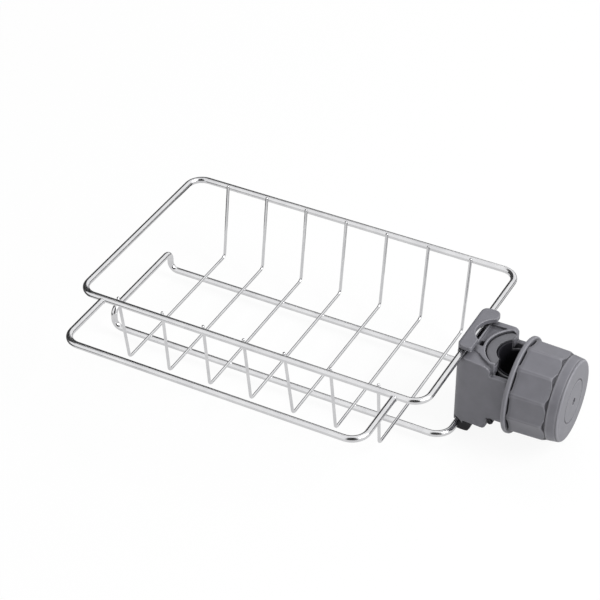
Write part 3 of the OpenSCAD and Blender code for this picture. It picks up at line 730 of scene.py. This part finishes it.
def addArmThread(mesh):
    t = thread
    angles = spread(t["from"], t["to"], t["steps"])
    turns = range(int((t["armEnd"] - t["armStart"]) / t["pitch"]) + 1)
    for side in (0, 180):
        for corner in (-1, 1):
            for turn in turns:
                rings = [ridgeRing(t, side, corner * angle, turn) for angle in angles]
                # a ridge that would run on at the arm's other end is left out
                if abs(rings[0][0][0] - rings[-1][0][0]) < t["pitch"] / 2:
                    addSweep(mesh, rings)


for name, m in mouldings.items():
    mesh = solidCopy(m["node"])
    if name == "clampBody":
        addArmThread(mesh)
    asPiece(moulded(name, mesh, m), m["body"], m["slot"], m["node"])
print("mouldings made:", len(mouldings))


# Knob: rings of points round the X axis, joined into one closed skin

knob = {
    "sides": 440,
    "sharp": 50,             # degrees between faces from which an edge stays sharp
    "face": 1.3,
    "flangeRadius": 22,
    "flangeWall": 2.1,
    "flangeEdge": 0.7,
    "edgeSteps": 8,
    "ridgeRadius": 20.6,
    "ridgeTaper": 0.4,
    "flatRadius": 20.05,
    "flats": 11,
    "flatPhase": 48,         # middle of a flat, in degrees
    "flatTaper": 0.55,
    "flatHollow": 0.35,
    "slotToFlange": 0.15,    # how far the slot between the flange and a flat reaches either way
    "slotToGrip": 0.55,
    "slotDepth": 1.3,
    "slotHalf": 13,          # half of its length and its soft ends, in degrees
    "slotSoft": 3,
    "slotFade": 2,
    "notch": 1.1,            # length of the notch at each ridge's end
    "notchHalf": 14,         # half of its width, in degrees
    "notchFloor": 18.7,
    "notchSlope": 0.5,
    "gripEnd": 20.7,
    "gripRows": 30,
    "notchRows": 20,
    "notchMargin": 0.2,
    "scallop": 2.1,
    "scallopLip": 0.1,
    "groove": 0.5,           # width of the groove between the grip and the collar
    "grooveDepth": 0.4,
    "grooveFront": ((0.03, 0.1), (0.14, 0)),                    # along X, up from the groove's floor
    "grooveBack": ((-0.1, 0), (-0.04, 0.06), (-0.02, 0.36)),
    "collar": 19.3,
    "collarEnd": 18.6,
    "collarRows": 8,
    "collarLead": 0.03,
    "end": 26.3,
    "capWall": 1.4,
    "seam": ((0.15, 0.01), (0.05, 0.03), (0, 0.12)),            # distance from the cap's seam, drop
    "web": (20.5, 22.5),
    "webRing": 9,
    "bore": 18,
    "boreLead": 0.3,
    "boreRows": 71,
    "boreBare": (1, 2),      # stretches without thread at the bore's mouth and at the web
    "boreFade": 0.8,
    "screwHole": 2.58,
    "plugSeat": 16.4,
    "plugLead": 0.15,
    "blend": 0.1,
    "hair": 0.01,            # least distance between rings
}
gripStart = knob["face"] + knob["flangeWall"]
capX = knob["end"] - knob["capWall"]


def flatAway(turn):
    # degrees from the middle of the nearest flat
    share = 360 / knob["flats"]
    return abs((turn - knob["flatPhase"] + share / 2) % share - share / 2)


def knobFlat(x, turn):
    # distance from the axis to the flats, at an angle round the knob
    away = flatAway(turn)
    flat = knob["flatRadius"] - knob["flatTaper"] * (x - gripStart) / (knob["gripEnd"] - gripStart)
    hollow = knob["flatHollow"] * (1 - (away * 2 * knob["flats"] / 360) ** 2)
    return flat / math.cos(math.radians(away)) - hollow


def notchShare(turn):
    # 1 on a ridge's line and 0 beside its notch
    away = min(1, (180 / knob["flats"] - flatAway(turn)) / knob["notchHalf"])
    return 0.5 + 0.5 * math.cos(math.pi * away)


def slotShare(turn):
    # 1 along a flat, where the slot is open, and 0 at the ridges
    return clamped((knob["slotHalf"] - flatAway(turn)) / knob["slotSoft"])


def gripRadius(x, turn):
    # the flats blend into the ridges, which sink to the collar at the scallops
    k = knob
    bend, top = k["gripEnd"] - k["scallop"], k["ridgeRadius"] - k["ridgeTaper"]
    if x < bend:
        ridge = k["ridgeRadius"] - k["ridgeTaper"] * (x - gripStart) / (bend - gripStart)
    else:
        ridge = top + (k["collar"] + k["scallopLip"] - top) * (x - bend) / k["scallop"]
    flat, blend = knobFlat(x, turn), k["blend"]
    h = clamped(0.5 + 0.5 * (flat - ridge) / blend)
    radius = flat * (1 - h) + ridge * h - blend * h * (1 - h)
    notch = k["gripEnd"] - k["groove"] - k["notch"] * notchShare(turn)
    return radius + (k["notchFloor"] - radius) * clamped((x - notch) / k["notchSlope"])


def boreRadius(x, turn):
    # the knob's thread stands half a pitch off the arms' thread, whose angles start a quarter turn on
    t, k = thread, knob
    phase = ((x - t["armStart"]) / t["pitch"] - (turn + 90) / 360 + 1) % 1
    off = abs(phase - 0.5) * t["pitch"]
    rise = clamped((t["rootHalf"] - off) / (t["rootHalf"] - t["crestHalf"]))
    mouth, back = x - k["face"] - k["boreBare"][0], k["web"][0] - k["boreBare"][1] - x
    ends = clamped(min(mouth, back) / k["boreFade"])
    return k["bore"] - (k["bore"] - t["boreCrest"]) * rise * ends


def collarRadius(x):
    share = (x - knob["gripEnd"]) / (knob["end"] - knob["gripEnd"])
    return knob["collar"] + (knob["collarEnd"] - knob["collar"]) * share


# A ring is two functions of the turn: its place along X and its radius

def plainRing(x, r):
    return lambda turn: x, lambda turn: r


def gripRing(x):
    # rings near the flange bend away from it at each slot
    fade = max(0, 1 - (x - gripStart) / knob["slotFade"]) * knob["slotToGrip"]
    return lambda turn: x + fade * slotShare(turn), lambda turn: gripRadius(x, turn)


def slotFloor(x, reach):
    # floor of the slots, on their flange side or, with a positive reach, on their grip side
    return (lambda turn: x + reach * slotShare(turn),
            lambda turn: gripRadius(x, turn) - knob["slotDepth"] * slotShare(turn))


def boreRing(x):
    return lambda turn: x, lambda turn: boreRadius(x, turn)


def roundEdge(x, r, size, side, steps):
    # quarter round from the rim, at radius r, down to the face at x
    angles = spread(0, math.pi / 2, steps)
    return [plainRing(x + side * size * (1 - math.sin(a)), r - size * (1 - math.cos(a))) for a in angles]


def knobRings():
    k, hair = knob, knob["hair"]
    rings = roundEdge(k["face"], k["flangeRadius"], k["flangeEdge"], 1, k["edgeSteps"])[::-1]
    rings += roundEdge(gripStart, k["flangeRadius"], k["flangeEdge"], -1, k["edgeSteps"])
    rings += [slotFloor(gripStart, -k["slotToFlange"]), slotFloor(gripStart + hair, k["slotToGrip"])]
    grooveX, floor = k["gripEnd"] - k["groove"], k["collar"] - k["grooveDepth"]
    fine = grooveX - k["notch"] - k["notchMargin"]
    places = spread(gripStart + 2 * hair, fine, k["gripRows"])[:-1]
    rings += [gripRing(x) for x in places + spread(fine, grooveX - hair, k["notchRows"])]
    profile = [(grooveX + x, floor + up) for x, up in k["grooveFront"]]
    profile += [(k["gripEnd"] + x, floor + up) for x, up in k["grooveBack"]]
    collar = spread(k["gripEnd"] + k["collarLead"], capX - k["seam"][0][0], k["collarRows"])
    profile += [(x, collarRadius(x)) for x in collar]
    profile += [(capX - x, collarRadius(capX) - drop) for x, drop in k["seam"][1:]]
    near, far = k["web"]
    profile += [(capX, k["plugSeat"] + k["plugLead"]), (capX - k["plugLead"], k["plugSeat"]),
                (far, k["plugSeat"]), (far, k["webRing"]), (far, k["screwHole"]),
                (near, k["screwHole"]), (near, k["webRing"]), (near, k["bore"])]
    rings += [plainRing(x, r) for x, r in profile]
    rings += [boreRing(x) for x in spread(near - 2 * hair, k["face"] + k["boreLead"], k["boreRows"])]
    return rings + [plainRing(k["face"], k["bore"] + k["boreLead"])]


def ringMesh(name, rings, sides, closed=True):
    # turn 0 points up and grows towards the front, and an open row of rings gets a cap at each end
    data = bpy.data.meshes.new(name)
    mesh = bmesh.new()
    rows = []
    for place, radius in rings:
        row = []
        for turn in spread(0, 360, sides)[:-1]:
            r, a = radius(turn), math.radians(turn)
            row.append(mesh.verts.new(Vector((place(turn), -r * math.sin(a), r * math.cos(a))) * mm))
        rows.append(row)
    for a, b in list(zip(rows, rows[1:])) + ([(rows[-1], rows[0])] if closed else []):
        for i in range(sides):
            j = (i + 1) % sides
            mesh.faces.new((a[i], a[j], b[j], b[i]))
    if not closed:
        mesh.faces.new(rows[0])
        mesh.faces.new(rows[-1])
    bmesh.ops.recalc_face_normals(mesh, faces=mesh.faces)
    mesh.to_mesh(data)
    mesh.free()
    # the knob's ridges and edges get a painted highlight
    finishMesh(data, "greyPlastic", ridgeWearAndHighlight)
    data.set_sharp_from_angle(angle=math.radians(knob["sharp"]))
    return linkNew(name, data)


asPiece(ringMesh("knobShell", knobRings(), knob["sides"]), "knob", "grey_plastic", "knob_shell")

cap = {
    "sides": 160,
    "drop": 0.02,            # how far the face lies inside the knob's end
    "dome": 0.25,
    "groove": 10,
    "grooveHalf": 0.55,
    "grooveDepth": 0.5,
    "dimple": 1.75,
    "dimpleDepth": 1.15,
    "dimpleWall": 8,         # the higher, the steeper
    "edge": 0.9,
    "edgeSteps": 6,
    "rimLip": 0.02,
    "pole": 0.05,
    "plug": 16.28,
    "plugWall": 1.2,
    "plugLength": 1.9,
    "plugLead": 0.2,
    "rows": 100,
}


def capHeight(r):
    # the face is a shade lower at the rim, with a ring groove and a dimple
    x = knob["end"] - cap["drop"] - cap["dome"] * (r / knob["collarEnd"]) ** 2
    away = abs(r - cap["groove"]) / cap["grooveHalf"]
    if away < 1:
        x -= cap["grooveDepth"] * (0.5 + 0.5 * math.cos(math.pi * away))
    if r < cap["dimple"]:
        x -= cap["dimpleDepth"] * (1 - (r / cap["dimple"]) ** cap["dimpleWall"])
    return x


def capRings():
    c = cap
    back, wall = capX - c["plugLength"], c["plug"] - c["plugWall"]
    profile = [(capX, c["pole"]), (capX, wall), (back, wall), (back, c["plug"] - c["plugLead"]),
               (back + c["plugLead"], c["plug"]), (capX, c["plug"])]
    profile += [(capX + x, collarRadius(capX) - drop) for x, drop in reversed(knob["seam"])]
    rings = [plainRing(x, r) for x, r in profile]
    rim = knob["collarEnd"] + c["rimLip"]
    rings += roundEdge(capHeight(rim), rim, c["edge"], -1, c["edgeSteps"])
    face = spread(rim - c["edge"], 0, c["rows"])[1:-1]
    return rings + [plainRing(capHeight(r), max(r, c["pole"])) for r in face]


asPiece(ringMesh("knobCap", capRings(), cap["sides"], closed=False), "knob", "grey_plastic", "knob_cap")
print("knob made")


# Screws: a tapered head with a cross recess on a plain shank, set at each place with its turn in radians

screws = {
    "sides": 48,
    "sharp": 30,             # degrees, as for the knob
    "inset": 0.02,           # how far the heads' faces lie inside the solids' box
    "taper": 0.8,            # shares of the head's radius, its height and the recess
    "shankStart": 0.8,
    "recessDepth": 1.1,
    "recessArm": 0.24,
    "clip": {"head": 1.98, "height": 1.28, "shank": 1.08, "length": 8.2, "recess": 2.3,
             "finish": "screwSteel", "axisInset": 2, "turns": ((math.pi, 0, 0.4), (math.pi, 0, 1.1))},
    "liner": {"head": 1.48, "height": 0.58, "shank": 0.88, "length": 4, "recess": 1.7,
              "finish": "blackedSteel", "turns": ((math.pi / 2, 0.5, 0), (-math.pi / 2, 0.9, 0))},
}


def lifted(tree, part, height, place):
    up = addNode(tree, "ShaderNodeCombineXYZ", (place[0] - 150, place[1] - 200), {"Z": height})
    move = addNode(tree, "GeometryNodeTransform", place, {
        "Geometry": part.outputs["Mesh"], "Translation": up.outputs[0]})
    return move.outputs["Geometry"]


def makeScrewTree():
    # the head's face lies at height 0 and the shank hangs down from it
    tree, given, out = newTree(
        "headedScrews", "GeometryNodeTree",
        {"Places": "Geometry", "Head Radius": "Float", "Head Height": "Float", "Shank Radius": "Float",
         "Length": "Float", "Recess": "Float", "Finish": "Material"}, {"Screws": "Geometry"})
    s, height, length, recess = screws, given["Head Height"], given["Length"], given["Recess"]
    crown = addNode(tree, "GeometryNodeMeshCone", (-700, 500), {
        "Vertices": s["sides"], "Radius Bottom": given["Head Radius"], "Depth": height,
        "Radius Top": calculated(tree, "MULTIPLY", (-900, 500), given["Head Radius"], s["taper"])})
    head = lifted(tree, crown, calculated(tree, "MULTIPLY", (-900, 700), height, -1), (-500, 500))
    cut = addNode(tree, "GeometryNodeMeshBoolean", (0, 300), {"Mesh 1": head},
                  operation="DIFFERENCE", solver="MANIFOLD")
    deep = calculated(tree, "MULTIPLY", (-900, -100), height, s["recessDepth"])
    thin = calculated(tree, "MULTIPLY", (-900, -200), recess, s["recessArm"])
    for x, y, row in [(recess, thin, -100), (thin, recess, 100)]:
        size = addNode(tree, "ShaderNodeCombineXYZ", (-700, row), {"X": x, "Y": y, "Z": deep})
        bar = addNode(tree, "GeometryNodeMeshCube", (-500, row), {"Size": size.outputs[0]})
        feed(tree, cut.inputs["Mesh 2"], bar.outputs["Mesh"])
    start = calculated(tree, "MULTIPLY", (-900, -400), height, s["shankStart"])
    rod = addNode(tree, "GeometryNodeMeshCylinder", (-400, -400), {
        "Vertices": s["sides"], "Radius": given["Shank Radius"],
        "Depth": calculated(tree, "SUBTRACT", (-700, -400), length, start)})
    reach = calculated(tree, "ADD", (-700, -500), length, start)
    shank = lifted(tree, rod, calculated(tree, "MULTIPLY", (-600, -500), reach, -0.5), (-200, -400))
    screw = addNode(tree, "GeometryNodeJoinGeometry", (200, 200), {"Geometry": cut.outputs["Mesh"]})
    feed(tree, screw.inputs["Geometry"], shank)
    turn = addNode(tree, "FunctionNodeEulerToRotation", (300, -100), {
        0: namedValue(tree, "turn", (200, -100), "FLOAT_VECTOR")})
    each = addNode(tree, "GeometryNodeInstanceOnPoints", (400, 0), {
        "Points": given["Places"], "Instance": screw.outputs["Geometry"], "Rotation": turn.outputs[0]})
    return closeTree(tree, out, each.outputs["Instances"], given["Finish"], smooth=False)


screwTree = makeScrewTree()


def makeScrews(name, places, s):
    made = realised(pointCloud(name, places, "turn", s["turns"], 1), screwTree, {
        "Head Radius": s["head"] * mm, "Head Height": s["height"] * mm, "Shank Radius": s["shank"] * mm,
        "Length": s["length"] * mm, "Recess": s["recess"] * mm, "Finish": materials[s["finish"]]})
    made.data.set_sharp_from_angle(angle=math.radians(screws["sharp"]))
    return made


low, high = boxOf("clip_screws")
clipX, clipY, clipZ = (low.x + high.x) / 2, high.y - screws["clip"]["axisInset"], low.z + screws["inset"]
clipScrews = makeScrews("clipScrews", [(clipX, -clipY, clipZ), (clipX, clipY, clipZ)], screws["clip"])
asPiece(clipScrews, "rack", "stainless", "clip_screws")
low, high = boxOf("liner_screws")
linerX, linerZ = (low.x + high.x) / 2, middleHeight("liner_screws")
linerFaces = [(linerX, low.y + screws["inset"], linerZ), (linerX, high.y - screws["inset"], linerZ)]
linerScrews = makeScrews("linerScrews", linerFaces, screws["liner"])
asPiece(linerScrews, "rack", "dark_screw", "liner_screws")
print("screws set")

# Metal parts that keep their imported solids, hidden inside the knob
for node in ("swivel_screw", "thrust_washer"):
    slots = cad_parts[node].data.materials
    slots.clear()
    slots.append(materials["screwSteel"])


# Floor, surroundings and light, in metres

studio = {
    "floorDrop": 0.0002,
    "floorSize": 6,
    "floorColour": (0.92, 0.92, 0.92, 1),
    "fill": 0.36,            # strength of the white surroundings as a light
    "sky": (1, 1, 1, 1),
    "shadow": 0.08,          # how much of the floor's real light the camera sees
    "mirrorShadow": 0.15,    # and how much of it the polish mirrors
    "mirrorGrey": 0.74,      # brightness of the rest of the floor in the polish
}


def flatSheet(corner, far, z):
    (x0, y0), (x1, y1) = corner, far
    return [(x0, y0, z), (x1, y0, z), (x1, y1, z), (x0, y1, z)], [(0, 1, 2, 3)]


def makeWorld():
    world = bpy.data.worlds.new("studio")
    bpy.context.scene.world = world
    world.use_nodes = True
    tree = world.node_tree
    tree.nodes.clear()
    rays = addNode(tree, "ShaderNodeLightPath", (-900, 0)).outputs
    glossy = calculated(tree, "ADD", (-750, -100), rays["Is Glossy Ray"], rays["Is Transmission Ray"],
                        clamp=True)
    seen = calculated(tree, "ADD", (-600, 0), rays["Is Camera Ray"], glossy, clamp=True)
    white = addNode(tree, "ShaderNodeBackground", (-300, 100), {"Color": studio["sky"]})
    fill = addNode(tree, "ShaderNodeBackground", (-300, -100), {
        "Color": studio["sky"], "Strength": studio["fill"]})
    mix = addNode(tree, "ShaderNodeMixShader", (0, 0), {
        "Fac": seen, 1: fill.outputs[0], 2: white.outputs[0]})
    addNode(tree, "ShaderNodeOutputWorld", (300, 0), {"Surface": mix.outputs[0]})


def makeFloor():
    half = studio["floorSize"] / 2
    data = bpy.data.meshes.new("floor")
    points, faces = flatSheet((-half, -half), (half, half), cadBox[0].z - studio["floorDrop"])
    data.from_pydata(points, [], faces)
    floor = linkNew("floor", data)
    material, tree, shader = newMaterial("floorPaper")
    tree.nodes.clear()
    rays = addNode(tree, "ShaderNodeLightPath", (-900, 0)).outputs
    seen = calculated(tree, "MULTIPLY", (-600, 0), rays["Is Camera Ray"], 1 - studio["shadow"])
    mirrored = calculated(tree, "MULTIPLY", (-600, -200), rays["Is Glossy Ray"], 1 - studio["mirrorShadow"])
    share = calculated(tree, "ADD", (-400, 0), seen, mirrored)
    level = ranged(tree, rays["Is Glossy Ray"], 1, studio["mirrorGrey"], (-500, -350), 0, 1)
    paper = addNode(tree, "ShaderNodeBsdfDiffuse", (-300, 100), {"Color": studio["floorColour"]})
    white = addNode(tree, "ShaderNodeEmission", (-300, -100), {"Strength": level})
    mix = addNode(tree, "ShaderNodeMixShader", (0, 0), {
        "Fac": share, 1: paper.outputs[0], 2: white.outputs[0]})
    addNode(tree, "ShaderNodeOutputMaterial", (300, 0), {"Surface": mix.outputs[0]})
    data.materials.append(material)


lamps = {
    "key": {"place": (0.84, 0.04, 0.84), "size": 0.75, "power": 13, "mirrored": True},
    "front": {"place": (-0.7, -1.0, 0.5), "size": 0.9, "power": 1.5, "mirrored": False},
    "back": {"place": (-0.4, 0.7, 1.0), "size": 0.9, "power": 4.5, "mirrored": False},
}

# Dark cards that only the polish mirrors: ranges of degrees round the rack from +X, and over the horizon
cards = {
    "reach": 2.2,            # from the middle of the rack
    "columns": 16,
    "rows": 12,
    "shade": 0.085,
    "patches": {
        "backLow": {"around": (106, 200), "over": (0, 34)},
        "backHigh": {"around": (122, 205), "over": (34, 60)},
        "backRight": {"around": (25, 62), "over": (0, 14)},
        "cameraSide": {"around": (-90, -34), "over": (0, 80)},
    },
    # sheets just over the floor, from corner to corner
    "sheets": {
        "leftSheet": ((-2.4, -0.3), (-0.215, 2.2)),
        "backSheet": ((-0.215, 0.075), (0.02, 2.2)),
    },
    "lift": 0.0004,
}


def cardPoint(around, over):
    around, over = math.radians(around), math.radians(over)
    level = cards["reach"] * math.cos(over)
    return Vector((level * math.cos(around), level * math.sin(around), cards["reach"] * math.sin(over)))


def placeCard(name, points, faces):
    data = bpy.data.meshes.new(name)
    data.from_pydata(points, [], faces)
    material, tree, shader = newMaterial(name)
    feed(tree, shader.inputs["Base Color"], (cards["shade"], cards["shade"], cards["shade"], 1))
    feed(tree, shader.inputs["Roughness"], 1)
    data.materials.append(material)
    card = linkNew(name, data)
    card.visible_camera = card.visible_diffuse = card.visible_shadow = False


def makeCards():
    middle = (cadBox[0] + cadBox[1]) / 2
    low = cadBox[0].z - studio["floorDrop"] + cards["lift"]
    foot = Vector((middle.x, middle.y, low))
    wide, high = cards["columns"], cards["rows"]
    for name, c in cards["patches"].items():
        columns, rows = spread(*c["around"], wide), spread(*c["over"], high)
        points = [foot + cardPoint(around, over) for over in rows for around in columns]
        corners = [j * (wide + 1) + i for j in range(high) for i in range(wide)]
        placeCard(name, points, [(k, k + 1, k + wide + 2, k + wide + 1) for k in corners])
    for name, (corner, far) in cards["sheets"].items():
        placeCard(name, *flatSheet(corner, far, low))


def makeLamps():
    aim = (cadBox[0] + cadBox[1]) / 2
    for name, lamp in lamps.items():
        data = bpy.data.lights.new(name, "AREA")
        data.shape, data.size, data.energy = "DISK", lamp["size"], lamp["power"]
        obj = linkNew(name, data)
        obj.visible_glossy = lamp["mirrored"]
        place = Vector(lamp["place"])
        facing = (place - aim).to_track_quat("Z", "Y").to_matrix().to_4x4()
        obj.matrix_world = Matrix.Translation(place) @ facing


makeWorld()
makeFloor()
makeLamps()
makeCards()
print("studio made")
